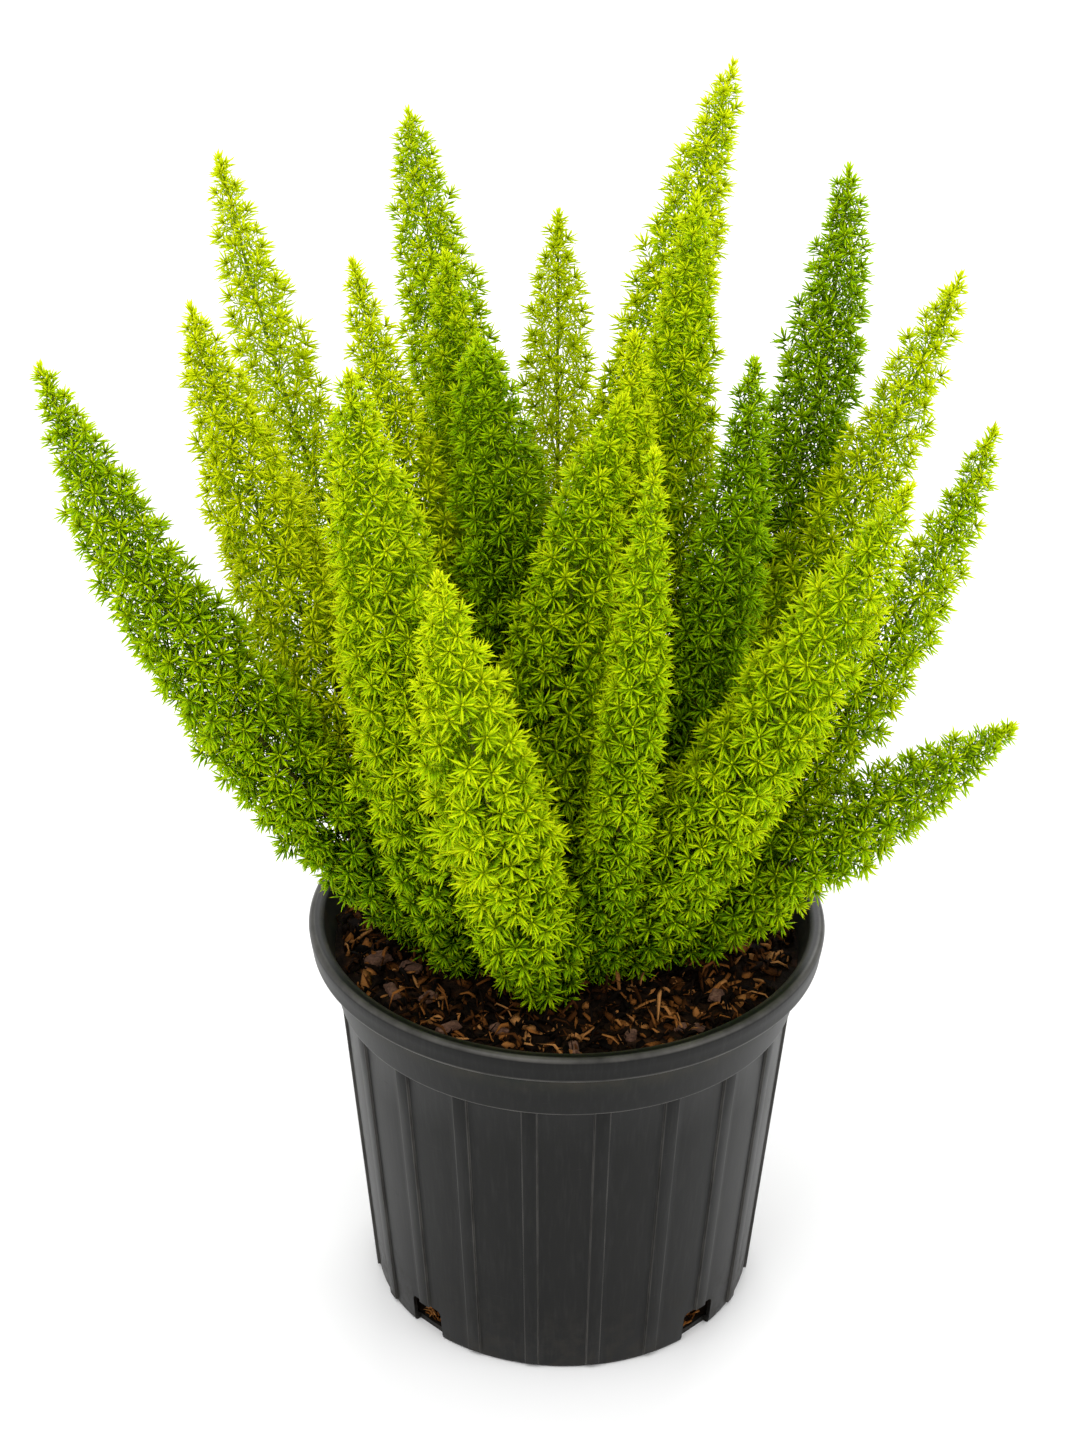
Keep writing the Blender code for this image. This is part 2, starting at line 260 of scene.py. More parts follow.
def turned(name, outline, steps, first_angle=0.0):
    """An outline of (radius, height) points, both ends on the axis, spun about Z with bpy.ops."""
    deselect()
    bpy.ops.mesh.primitive_plane_add(size=0.001, location=(0, 0, 0))
    piece = bpy.context.object
    piece.name = name
    piece.data.name = name
    bpy.ops.object.mode_set(mode="EDIT")
    bpy.ops.mesh.select_mode(type="VERT")
    bpy.ops.mesh.select_all(action="SELECT")
    bpy.ops.mesh.merge(type="CENTER")
    angle = math.radians(first_angle)
    across = Vector((math.cos(angle), math.sin(angle), 0))
    places = [across * radius + Vector((0, 0, height)) for radius, height in outline]
    bpy.ops.transform.translate(value=places[0])
    for here, there in zip(places, places[1:]):
        bpy.ops.mesh.extrude_region_move(TRANSFORM_OT_translate={"value": there - here})
    bpy.ops.mesh.select_all(action="SELECT")
    bpy.ops.mesh.spin(steps=steps, angle=math.tau, center=(0, 0, 0), axis=(0, 0, 1))
    bpy.ops.mesh.select_all(action="SELECT")
    bpy.ops.mesh.remove_doubles(threshold=1e-6)
    bpy.ops.mesh.normals_make_consistent(inside=False)
    bpy.ops.object.mode_set(mode="OBJECT")
    return piece


def round_corner(centre, radius, start, end, steps):
    """Points of a round corner in the (radius, height) plane, from angle start to angle end."""
    angles = np.radians(np.linspace(start, end, steps + 1))
    return [(centre[0] + radius * math.cos(a), centre[1] + radius * math.sin(a)) for a in angles]


def select_faces(piece, wanted):
    """Select, in object mode, the faces whose centre and normal pass a test."""
    only(piece)
    mesh = piece.data
    mesh.vertices.foreach_set("select", np.zeros(len(mesh.vertices), bool))
    mesh.edges.foreach_set("select", np.zeros(len(mesh.edges), bool))
    count = 0
    for face in mesh.polygons:
        face.select = bool(wanted(face.center, face.normal))
        count += face.select
    return count


def corners(piece):
    """The piece's vertices as an array."""
    flat = np.empty(len(piece.data.vertices) * 3, np.float32)
    piece.data.vertices.foreach_get("co", flat)
    return flat.reshape(-1, 3).astype(float)


def set_corners(piece, points):
    piece.data.vertices.foreach_set("co", np.asarray(points, np.float32).ravel())
    piece.data.update()


def settle(piece, material, node_names, smooth_angle=30):
    """Give a finished piece its material and body, and let it stand for its CAD nodes."""
    piece.data.materials.clear()
    piece.data.materials.append(material)
    only(piece)
    if smooth_angle:
        bpy.ops.object.shade_smooth_by_angle(angle=math.radians(smooth_angle))
    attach(piece, "root")
    if node_names:
        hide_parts(*node_names)


print("modelling helpers ready")

# %% [markdown]
# ## Studio
#
# The plant stands on a seamless white sheet in a white room, as for a catalogue. A large softbox above the
# left shoulder shapes the plumes, a weaker one on the right fills in, and one behind brightens the tips.
# The white room all round also draws the pale edges on the dark pot.

# %% Studio
ROOM_LIGHT = 1.06
CLUMP_MIDDLE = (0, 0, 0.35)
PAPER_RADIUS = 9

scene = bpy.context.scene
scene.view_settings.view_transform = "Standard"
scene.view_settings.look = "None"
scene.view_settings.exposure = 0
scene.view_settings.gamma = 1

world = bpy.data.worlds.new("white_room")
world.use_nodes = True
room = world.node_tree.nodes["Background"]
room.inputs["Color"].default_value = (1, 1, 1, 1)
room.inputs["Strength"].default_value = ROOM_LIGHT
scene.world = world


def softbox(name, place, size, power):
    """A rectangular lamp that faces the middle of the clump."""
    light = bpy.data.lights.new(name, "AREA")
    light.shape = "RECTANGLE"
    light.size, light.size_y = size
    light.energy = power
    lamp = bpy.data.objects.new(name, light)
    scene.collection.objects.link(lamp)
    lamp.location = place
    aim = Vector(CLUMP_MIDDLE) - Vector(place)
    lamp.rotation_euler = aim.to_track_quat("-Z", "Y").to_euler()


softbox("key_softbox", (-0.7, -0.9, 2.1), (1.3, 1.3), 15)
softbox("fill_softbox", (1.5, -0.7, 1.3), (1.2, 1.2), 8)
softbox("back_softbox", (0.3, 1.6, 1.5), (1.4, 0.8), 14)

paper = Finish("paper_sweep", Roughness=0.9, Specular_IOR_Level=0.1)
grain = paper.noise(paper.place(), 30.0, 2.0)
paper.paint(Base_Color=paper.mix(grain * 0.1, (0.93, 0.93, 0.93), (0.90, 0.90, 0.90)))
deselect()
bpy.ops.mesh.primitive_circle_add(vertices=96, radius=PAPER_RADIUS, fill_type="NGON", location=(0, 0, 0))
floor = bpy.context.object
floor.name = "paper_sweep"
floor.data.materials.append(paper.material)
floor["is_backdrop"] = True
print("studio: 3 softboxes and a white room")

# %% [markdown]
# ## The nursery pot
#
# The pot is one injection moulding of black polypropylene: a rolled rim over an upright band, a collar, and
# a thin tapering wall with twenty flat ribs and four drain notches. The wall is spun from its outline. A rib
# is four degrees of the wall pushed out along its normals, so it narrows with the pot as a moulded one does.

# %% The pot's outline
RIM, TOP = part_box("nursery_pot")[1].xz
BAND_LOW = TOP - 13.5 * MM
COLLAR_LOW = 168 * MM
WALL_TOP = 111 * MM
WALL_FOOT = 95.5 * MM
WALL = 2.2 * MM
POT_FLOOR = 2.5 * MM
RIB_LOW, RIB_HIGH = 2.6 * MM, 167.85 * MM
RIB_STAND = 1.3 * MM
POT_STEPS = 180


def wall_radius(height):
    """Outside radius of the plain wall at a height."""
    return WALL_FOOT + (WALL_TOP - WALL_FOOT) * height / COLLAR_LOW


inside = [
    (0, POT_FLOOR),
    (wall_radius(0) - WALL - 2 * MM, POT_FLOOR),
    (wall_radius(5 * MM) - WALL, POT_FLOOR + 2 * MM),
    (wall_radius(COLLAR_LOW) - WALL, COLLAR_LOW),
    (115.8 * MM, BAND_LOW),
    (118.6 * MM, TOP - 6 * MM),
]
lip = round_corner((121.4 * MM, TOP - 2.2 * MM), 2.2 * MM, 172, 90, 5)
lip += round_corner((RIM - 2.6 * MM, TOP - 2.6 * MM), 2.6 * MM, 90, 0, 6)
band = [
    (RIM - 0.5 * MM, TOP - 6.5 * MM),
    (RIM - 1.4 * MM, BAND_LOW + 1.8 * MM),
]
band += round_corner((RIM - 2.6 * MM, BAND_LOW + 1.2 * MM), 1.2 * MM, 0, -90, 3)
band += round_corner((119.4 * MM, BAND_LOW - 1.2 * MM), 1.2 * MM, 90, 180, 3)
collar = [(115.8 * MM, 183 * MM), (113.6 * MM, COLLAR_LOW + 2.2 * MM)]
collar += round_corner((112.2 * MM, COLLAR_LOW + 1.2 * MM), 1.2 * MM, 0, -90, 3)
wall = [(wall_radius(height), height) for height in np.linspace(RIB_HIGH, RIB_LOW, 7)]
foot = round_corner((WALL_FOOT - 2 * MM, 2 * MM), 2 * MM, 0, -90, 4)
pot = turned("pot_moulding", inside + lip + band + collar + wall + foot + [(0, 0)], POT_STEPS, 1.0)
print("pot:", len(pot.data.polygons), "faces, rim", round(2 * RIM / MM), "mm across")

# %% Ribs
RIBS = 20
RIB_HALF_TURN = 2
RIB_INSIDE = 90 * MM
RIB_EDGE = 0.35 * MM


def on_rib(centre, normal):
    """True for a face of the outer wall within two degrees of a rib's middle."""
    outward = normal.x * centre.x + normal.y * centre.y > 0
    azimuth = math.degrees(math.atan2(centre.y, centre.x)) + 90
    from_middle = (azimuth % (360 / RIBS)) - 180 / RIBS
    in_span = RIB_LOW < centre.z < RIB_HIGH and math.hypot(*centre.xy) > RIB_INSIDE
    return outward and in_span and abs(from_middle) < RIB_HALF_TURN


picked = select_faces(pot, on_rib)
bpy.ops.object.mode_set(mode="EDIT")
bpy.ops.mesh.select_mode(type="FACE")
bpy.ops.mesh.extrude_region_shrink_fatten(TRANSFORM_OT_shrink_fatten={"value": RIB_STAND})
bpy.ops.object.mode_set(mode="OBJECT")
edge = pot.modifiers.new("moulded_edges", "BEVEL")
edge.width = RIB_EDGE
edge.segments = 2
edge.limit_method = "ANGLE"
edge.angle_limit = math.radians(50)
bpy.ops.object.modifier_apply(modifier=edge.name)
widest = max(math.hypot(*vertex.co.xy) for vertex in pot.data.vertices)
print("ribs:", picked, "faces raised, widest", round(widest / MM, 1))

# %% Drain notches
NOTCH_WIDTH = 20 * MM
NOTCH_TOP = 18 * MM
NOTCH_CORNER = 3 * MM
NOTCH_DEPTH = 14 * MM
NOTCH_TURNS = (45, 135, 225, 315)


def notch_cutter(azimuth):
    """A block with two rounded upper corners, standing across the foot of the wall."""
    deselect()
    bpy.ops.mesh.primitive_cube_add(size=1, location=(WALL_FOOT + 3 * MM, 0, NOTCH_TOP / 2 - 1 * MM))
    block = bpy.context.object
    block.scale = (NOTCH_DEPTH, NOTCH_WIDTH, NOTCH_TOP + 2 * MM)
    bpy.ops.object.transform_apply(location=True, rotation=False, scale=True)
    bpy.ops.object.mode_set(mode="EDIT")
    bpy.ops.mesh.select_mode(type="EDGE")
    bpy.ops.mesh.select_all(action="DESELECT")
    bpy.ops.object.mode_set(mode="OBJECT")
    for line in block.data.edges:
        start, end = [block.data.vertices[i].co for i in line.vertices]
        line.select = abs(start.x - end.x) > NOTCH_DEPTH / 2 and start.z > NOTCH_TOP / 2
    bpy.ops.object.mode_set(mode="EDIT")
    bpy.ops.mesh.bevel(offset=NOTCH_CORNER, segments=4, affect="EDGES")
    bpy.ops.object.mode_set(mode="OBJECT")
    block.data.transform(Matrix.Rotation(math.radians(azimuth), 4, "Z"))
    return block


for azimuth in NOTCH_TURNS:
    block = notch_cutter(azimuth)
    only(pot)
    cut = pot.modifiers.new("notch", "BOOLEAN")
    cut.operation = "DIFFERENCE"
    cut.object = block
    bpy.ops.object.modifier_apply(modifier=cut.name)
    bpy.data.objects.remove(block)
print("notches:", len(NOTCH_TURNS), "- pot now", len(pot.data.polygons), "faces")

# %% [markdown]
# Black polypropylene is really a soft charcoal. It picks up a faint grain from its mould, long draw marks
# down the wall, scuffs where pots rub together in a tray, and pale dust near the bench. Ribs, collar, band
# and lip carry painted highlights: thin pale lines along their edges, broken up by noise. The ledge inside
# the rim is dirty, and tinted green as a painted reflection of the foliage. All of this comes from noise on
# the object's own coordinates, and from height and distance from the axis.

# %% The pot's plastic
plastic = Finish("charcoal_polypropylene", Specular_IOR_Level=0.20)
place = plastic.place()
x, y, z = plastic.split(place)
grain = plastic.noise(place, 900.0, 2.0)
draw_marks = plastic.noise(place, 60.0, 3.0, stretch=(9, 9, 0.35))
cloud = plastic.noise(place, 14.0, 3.0)
scuff = plastic.noise(place, 45.0, 5.0, 0.7, stretch=(0.6, 0.6, 6)).over(0.66, 0.74)
dust = plastic.noise(place, 120.0, 4.0, 0.7).over(0.45, 0.75) * z.over(45 * MM, 0.0)
radius = (x * x + y * y) ** 0.5
inner_ledge = radius.over(122.2 * MM, 121.2 * MM) * z.over(180 * MM, 196 * MM)
azimuth = y.math("ARCTAN2", x) * (180 / math.pi) + 450
from_rib = (azimuth.math("FLOORED_MODULO", 360 / RIBS) - 180 / RIBS).math("ABSOLUTE", 0)
# Painted highlights: thin pale lines along the edges of the ribs, collar, band and lip, standing for the
# light they catch, broken up by noise.
rib_edge = from_rib.over(1.60, 1.90) * from_rib.over(2.25, 2.05)
rib_edge = rib_edge * z.over(168.0 * MM, 167.5 * MM) * radius.over(94 * MM, 95 * MM)
collar_edge = z.over(167.8 * MM, 168.1 * MM) * z.over(169.2 * MM, 168.6 * MM)
collar_edge = collar_edge * radius.over(112.0 * MM, 112.4 * MM)
band_edge = z.over(195.3 * MM, 195.7 * MM) * z.over(197.2 * MM, 196.4 * MM)
band_edge = band_edge * radius.over(122.5 * MM, 123.5 * MM)
lip_edge = z.over(207.0 * MM, 207.8 * MM) * radius.over(123.5 * MM, 124.5 * MM)
highlight_breakup = 0.3 + plastic.noise(place, 38.0, 4.0, 0.65).over(0.32, 0.62) * 0.7
painted_edge_highlight = (rib_edge * 0.42 + collar_edge * 0.75 + band_edge * 0.7 + lip_edge * 0.6) * highlight_breakup
grime = plastic.noise(place, 70.0, 5.0, 0.7).over(0.40, 0.66) * inner_ledge
charcoal = plastic.mix(cloud.over(0.3, 0.7), (0.0024, 0.0025, 0.0022), (0.0042, 0.0041, 0.0036))
charcoal = plastic.mix(draw_marks.over(0.5, 0.8) * 0.35, charcoal, (0.022, 0.0215, 0.020))
charcoal = plastic.mix(scuff * 0.22, charcoal, (0.055, 0.053, 0.049))
charcoal = plastic.mix(dust * 0.35, charcoal, (0.070, 0.060, 0.046))
# Painted highlight: the pale edge lines are mixed into the colour here.
charcoal = plastic.mix(painted_edge_highlight, charcoal, (0.115, 0.110, 0.100))
# Painted reflection: the ledge inside the rim is tinted a paler green, standing for the foliage mirrored in
# it.
charcoal = plastic.mix(inner_ledge * 0.6, charcoal, (0.012, 0.017, 0.010))
charcoal = plastic.mix(grime * 0.5, charcoal, (0.055, 0.040, 0.024))
sheen = 0.35 - lip_edge * 0.08 + cloud * 0.10 + scuff * 0.15 + dust * 0.30 + inner_ledge * 0.15
height = grain * 0.5 + draw_marks * 0.5 + scuff * 0.3
plastic.paint(Base_Color=charcoal, Roughness=sheen, Normal=plastic.bump(height, 0.10 * MM, 0.55))
settle(pot, plastic.material, ["nursery_pot"], 32)
print("pot finished")

# %% [markdown]
# ## The potting mix
#
# The mix is shredded bark: near black where it is damp and deep, rust brown where a shred has dried. A solid
# body fills the pot and gives the deep colour, with a lumpy top and a slumped hollow behind each notch.
# Loose shreds, flakes and crumbs come later, because a displaced surface never shows single fibres.

# %% The body of the mix
MIX_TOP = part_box("potting_mix")[1].z
MIX_STEPS = 144
MIX_FOOT = 3.2 * MM
MIX_GAP = 0.8 * MM
HOLLOW_HEIGHTS = (3.2, 5.8, 8.4, 24, 26)
HOLLOW_SHARES = (0.2, 0.8, 1, 1, 0)
HOLLOW_DEPTH = 16
HOLLOW_TURN = 4.3
DIP_FROM, DIP_WIDTH = 98 * MM, 16 * MM
MOUND = 75 * MM


def mix_height(x, y):
    """Height of the lumpy top of the mix."""
    lumps = noise.fractal(Vector((x * 60, y * 60, 1.7)), 1.0, 2.0, 4)
    broad = noise.noise(Vector((x * 18, y * 18, 4.1)))
    ring = math.hypot(x, y)
    edge_dip = 3.0 * MM * max(0, (ring - DIP_FROM) / DIP_WIDTH) ** 2
    mound = 3.0 * MM * max(0, 1 - (ring / MOUND) ** 2)
    return MIX_TOP - 0.5 * MM + 2.4 * MM * lumps + 1.6 * MM * broad + mound - min(edge_dip, 4 * MM)


low_wall = [(wall_radius(h) - WALL - MIX_GAP, h) for h in np.linspace(MIX_FOOT, 26 * MM, 10)]
high_wall = [(wall_radius(h) - WALL - MIX_GAP, h) for h in np.linspace(60 * MM, COLLAR_LOW, 4)]
rim_ring = [(115.0 * MM, MIX_TOP - 1 * MM)]
top_rings = [(r, MIX_TOP) for r in np.linspace(113.6 * MM, 2 * MM, 44)]
outline = [(0, MIX_FOOT)] + low_wall + high_wall + rim_ring + top_rings + [(0, MIX_TOP)]
mix = turned("potting_mix_body", outline, MIX_STEPS)
points = corners(mix)
for i, (px, py, pz) in enumerate(points):
    ring = math.hypot(px, py)
    if pz > MIX_TOP - 1.5 * MM:
        points[i, 2] = mix_height(px, py)
    elif pz < 28 * MM and ring > 80 * MM:
        azimuth = math.degrees(math.atan2(py, px)) % 90 - 45
        slump = min(max(0, 2 - abs(azimuth) / HOLLOW_TURN), 1)
        slump *= np.interp(pz / MM, HOLLOW_HEIGHTS, HOLLOW_SHARES)
        crumb = noise.fractal(Vector((px * 160, py * 160, pz * 160)), 1.0, 2.0, 3)
        back = 1 - slump * (HOLLOW_DEPTH + 3 * crumb) * MM / ring
        points[i, 0] *= back
        points[i, 1] *= back
set_corners(mix, points)
print("mix body:", len(mix.data.polygons), "faces, top at", round(MIX_TOP / MM, 1), "mm")

# %% The colour of damp bark
bark = Finish("damp_bark", Specular_IOR_Level=0.08)
place = bark.place()
fibre = bark.noise(place, 420.0, 5.0, 0.7)
patch = bark.noise(place, 95.0, 4.0, 0.6)
rust = bark.ramp(
    patch * 0.6 + fibre * 0.4,
    [(0.30, (0.0022, 0.0014, 0.0008)), (0.50, (0.0090, 0.0045, 0.0020)),
     (0.62, (0.034, 0.0140, 0.0050)), (0.78, (0.120, 0.0500, 0.0180))],
)
height = fibre * 0.6 + patch * 0.9
bark.paint(Base_Color=rust, Roughness=0.92 - patch * 0.2, Normal=bark.bump(height, 1.6 * MM, 0.9))
settle(mix, bark.material, ["potting_mix"], 60)
print("mix body finished")

# %% [markdown]
# ## Stems
#
# Each plume is one wiry stem, green at the tip and browner at the foot. The frame already holds every stem as
# a chain of rings, so the lesson reads the middle of each ring, adds the tip of the plume's sleeve, and
# passes one smooth curve through them. The visible stem and all that grows on it follow that curve.


# %% The line of each stem
def unit(vectors):
    return vectors / np.linalg.norm(vectors, axis=-1, keepdims=True)


def ring_middles(points, start, heading, gap):
    """Middles of the rings of a tube, by their distance along its heading."""
    along = (points - start) @ heading
    order = np.argsort(along)
    breaks = np.flatnonzero(np.diff(along[order]) > gap) + 1
    return [points[group].mean(0) for group in np.split(order, breaks)]


class Shoot:
    """The smooth centreline of one plume, from its foot in the crown to its tip."""

    def __init__(self, number):
        self.stem = f"stem_{number:02d}"
        self.plume = f"plume_{number:02d}"
        points = corners(nodes[self.stem])
        low = points[points[:, 2].argmin()]
        far = points[np.linalg.norm(points - low, axis=1).argmax()]
        heading = (far - low) / np.linalg.norm(far - low)
        middles = ring_middles(points, low, heading, 4 * MM)[1:]
        sleeve = corners(nodes[self.plume])
        reach = (sleeve - low) @ heading
        middles.append(sleeve[reach > reach.max() - 1.5 * MM].mean(0))
        middles = np.array(middles)
        steps = np.linalg.norm(np.diff(middles, axis=0), axis=1)
        at = np.concatenate([[0], np.cumsum(steps)])
        self.length = at[-1]
        self.curve = [np.polyfit(at / self.length, middles[:, axis], 4) for axis in range(3)]
        self.slope = [np.polyder(curve) for curve in self.curve]

    def at(self, share):
        """Points of the centreline at shares of its length."""
        return np.stack([np.polyval(curve, share) for curve in self.curve], -1)

    def heading(self, share):
        return unit(np.stack([np.polyval(slope, share) for slope in self.slope], -1))


SHOOTS = [Shoot(number) for number in range(1, 22)]
lengths = sorted(round(shoot.length / MM) for shoot in SHOOTS)
print("shoots:", len(SHOOTS), "from", lengths[0], "to", lengths[-1], "mm long")

# %% [markdown]
# ## One needle, one twig
#
# There are some two hundred thousand needles, so the one that is copied has few triangles: a three-sided
# cone, cut once along its length and swelled there. Needles inside the plume also have a pointed foot, and a
# twig is such a cone as well. All are of unit length along X, and every copy gets its own place, heading,
# length, width and bend.


# %% The prototypes
def taken_apart(piece):
    """Corners and outward triangles of a piece, as arrays. The piece itself goes."""
    bpy.ops.object.mode_set(mode="EDIT")
    bpy.ops.mesh.select_all(action="SELECT")
    bpy.ops.mesh.remove_doubles(threshold=1e-4)
    bpy.ops.mesh.quads_convert_to_tris()
    bpy.ops.mesh.normals_make_consistent(inside=False)
    bpy.ops.object.mode_set(mode="OBJECT")
    shape = corners(piece)
    faces = np.array([face.vertices[:] for face in piece.data.polygons])
    bpy.data.objects.remove(piece)
    return shape, faces


def slip(name, cuts, widths, pointed_foot=False):
    """A three-sided cone along X from 0 to 1, cut across and given a width at each cut."""
    deselect()
    bpy.ops.mesh.primitive_cone_add(vertices=3, radius1=widths[0], radius2=0, depth=1)
    piece = bpy.context.object
    piece.name = name
    piece.rotation_euler = (0, math.radians(90), 0)
    piece.location = (0.5, 0, 0)
    bpy.ops.object.transform_apply(location=True, rotation=True, scale=True)
    for cut, width in zip(cuts, widths[1:]):
        bpy.ops.object.mode_set(mode="EDIT")
        bpy.ops.mesh.select_all(action="SELECT")
        bpy.ops.mesh.bisect(plane_co=(cut, 0, 0), plane_no=(1, 0, 0))
        bpy.ops.object.mode_set(mode="OBJECT")
        for vertex in piece.data.vertices:
            if abs(vertex.co.x - cut) < 0.01:
                across = math.hypot(vertex.co.y, vertex.co.z)
                vertex.co.y *= width / across
                vertex.co.z *= width / across
    if pointed_foot:
        for vertex in piece.data.vertices:
            if vertex.co.x < 0.01:
                vertex.co.yz = 0, 0
    return taken_apart(piece)


NEEDLE = slip("needle", [0.66], [0.36, 0.5])
SPLINTER = slip("inner_needle", [0.58], [0.3, 0.5], pointed_foot=True)
TWIG = slip("twig", [0.75], [0.5, 0.34])
print("needle:", len(NEEDLE[1]), "triangles, inner needle:", len(SPLINTER[1]), "twig:", len(TWIG[1]))


# %% Copies
def perpendicular(axis):
    """Two directions across each axis. The first is level unless the axis is nearly upright."""
    helper = np.where(np.abs(axis[:, 2:3]) < 0.9, [[0, 0, 1.0]], [[1.0, 0, 0]])
    first = unit(np.cross(axis, helper))
    return first, np.cross(axis, first)


class Heap:
    """Many copies of one prototype, gathered before they become one mesh."""

    def __init__(self):
        self.corners, self.faces, self.tones, self.along = [], [], [], []
        self.count = 0

    def add(self, prototype, place, heading, length, width, bend, roll, tone):
        """Copies at each place, along each heading. A bend lifts the middle off the straight line."""
        shape, faces = prototype
        side, down = perpendicular(heading)
        lift = -down
        across = side * np.cos(roll)[:, None] + lift * np.sin(roll)[:, None]
        through = np.cross(heading, across)
        x, y, z = shape.T
        points = place[:, None] + heading[:, None] * (x[None] * length[:, None])[..., None]
        points += across[:, None] * (y[None] * width[:, None])[..., None]
        points += through[:, None] * (z[None] * width[:, None])[..., None]
        arch = 4 * x * (1 - x)
        points += lift[:, None] * (arch[None] * (bend * length)[:, None])[..., None]
        count, size = len(place), len(shape)
        shift = self.count + size * np.arange(count)
        self.corners.append(points.reshape(-1, 3))
        self.faces.append((faces[None] + shift[:, None, None]).reshape(-1, 3))
        spread = 0.012 * np.sin(np.arange(size) * 2.1)
        self.tones.append((np.clip(tone, 0, 1)[:, None] + spread[None]).ravel())
        self.along.append(np.tile(0.03 + 0.92 * x + 0.015 * np.cos(np.arange(size) * 2.1), count))
        self.count += count * size

    def piece(self, name):
        """One mesh of all the copies, with a map of tone across and distance along."""
        points = np.concatenate(self.corners)
        faces = np.concatenate(self.faces)
        mesh = bpy.data.meshes.new(name)
        mesh.vertices.add(len(points))
        mesh.vertices.foreach_set("co", points.astype(np.float32).ravel())
        mesh.loops.add(faces.size)
        mesh.loops.foreach_set("vertex_index", faces.astype(np.int32).ravel())
        mesh.polygons.add(len(faces))
        mesh.polygons.foreach_set("loop_start", np.arange(0, faces.size, 3, dtype=np.int32))
        mesh.polygons.foreach_set("use_smooth", np.ones(len(faces), bool))
        mesh.update(calc_edges=True)
        layer = mesh.uv_layers.new(name="OFBake")
        chart = np.stack([0.02 + 0.96 * np.concatenate(self.tones), np.concatenate(self.along)], 1)
        layer.data.foreach_set("uv", np.clip(chart, 0.001, 0.999)[faces.ravel()].astype(np.float32).ravel())
        piece = bpy.data.objects.new(name, mesh)
        scene.collection.objects.link(piece)
        return piece


print("copying helpers ready")

# %% [markdown]
# ## The greens
#
# A needle is a flattened twig, not a true leaf: deep green when old, acid yellow-green when it has just
# opened, and always paler at its point. Tone runs across the map and distance along it runs up, so one small
# picture holds every needle's colour. Three finishes, bright, middling and deep, share one scale of greens.

# %% Needle colours
GREENS = [
    (0.00, (0.011, 0.046, 0.0004)),
    (0.20, (0.053, 0.154, 0.0006)),
    (0.40, (0.150, 0.310, 0.0008)),
    (0.60, (0.310, 0.520, 0.0010)),
    (0.80, (0.520, 0.705, 0.0016)),
    (1.00, (0.720, 0.850, 0.0040)),
]
TONE_SPAN = {"foliage_bright": (0.16, 1.00), "foliage_mid": (0.10, 0.94), "foliage_deep": (0.02, 0.74)}


def green(tone):
    """A colour on the scale of greens."""
    levels = [level for level, colour in GREENS]
    return tuple(float(np.interp(tone, levels, [colour[i] for level, colour in GREENS])) for i in range(3))


def needle_finish(name, dark, light):
    """Green that follows a needle's own map: tone across, foot to point upwards."""
    finish = Finish(name, Specular_IOR_Level=0.04, Subsurface_Weight=0.6, Subsurface_Scale=1.2 * MM,
                    Subsurface_Radius=(0.8, 1.0, 0.2))
    tone, along = finish.split(finish.chart())[:2]
    stops = [(share, green(dark + (light - dark) * share)) for share in (0, 0.2, 0.4, 0.6, 0.8, 1)]
    body = finish.ramp(tone, stops)
    deep_foot = tuple(0.6 * c for c in green(dark))
    shaded_foot = finish.mix(0.20 - along.over(0.0, 0.40) * 0.20, body, deep_foot)
    young_point = finish.mix(along.over(0.70, 1.0) * 0.55, shaded_foot, green(min(1, light + 0.05)))
    finish.paint(Base_Color=young_point, Roughness=0.60 - along * 0.12)
    return finish.material


FOLIAGE = {slot: needle_finish(slot + "_needles", *span) for slot, span in TONE_SPAN.items()}
print("foliage finishes:", ", ".join(FOLIAGE))

# %% [markdown]
# ## Growing a plume
#
# Branchlets leave the stem by the golden angle, close enough that their stars just touch. Those near the foot
# droop, those half way stand out and up, and those at the tip close into a soft point. Each branchlet
# has whorls of needles along its outer half and a star of fifteen at its end. The width at each height is
# the plume's girth times one bottle-brush outline, raised to a power that sharpens or blunts the tip.

# %% The outline and the rows of the clump
OUTLINE_AT = (0, 0.1, 0.2, 0.35, 0.5, 0.65, 0.8, 0.9, 0.96, 1)
OUTLINE_WIDTH = (0.66, 0.86, 0.96, 1.0, 0.98, 0.88, 0.67, 0.46, 0.30, 0.12)
RISE_AT = (0, 0.12, 0.3, 0.5, 0.7, 0.85, 1)
RISE = (-25, 0, 20, 36, 50, 58, 68)
STAR_GAP = 1.40
# stars packed like a honeycomb, and how far short of the outline they stand, in needle lengths
PACKING = 0.87
STAR_INSET, TWIG_INSET = 0.45, 0.54
GAP_AT, GAP_SHARE = (0, 0.35, 0.6, 1), (0.93, 0.95, 1.0, 1.14)
TONE_SHIFT_AT, TONE_SHIFT = (0, 0.36, 1), (-3.0, 0.0, 0.7)
# each ring of a star: opening in degrees, needles, how far forward, length and extra tone
STAR = [(76, 8, 0.0, 1.0, 0.06), (44, 5, 0.06, 0.92, 0.13), (12, 2, 0.10, 0.7, 0.22)]
INNER_DEPTHS = (0.32, 0.66, 1.05, 1.50)
INNER_OPENING, INNER_COUNT = 60, 6
TWIG_THICK = 0.9 * MM
BUD_THICK = 1.0 * MM
SOIL = MIX_TOP - 1 * MM
INNER_AT, INNER_THICK = (0.10, 0.45, 0.70), (2.1, 1.5, 1.2)
NEEDLE_THIN, NEEDLE_STOUT = 0.42 * MM, 0.070
NEEDLE_AT, NEEDLE_SHARE = (0, 0.1, 0.7, 0.88, 1), (0.9, 1.0, 1.0, 0.86, 0.66)
GOLDEN_TURN = math.pi * (3 - math.sqrt(5))
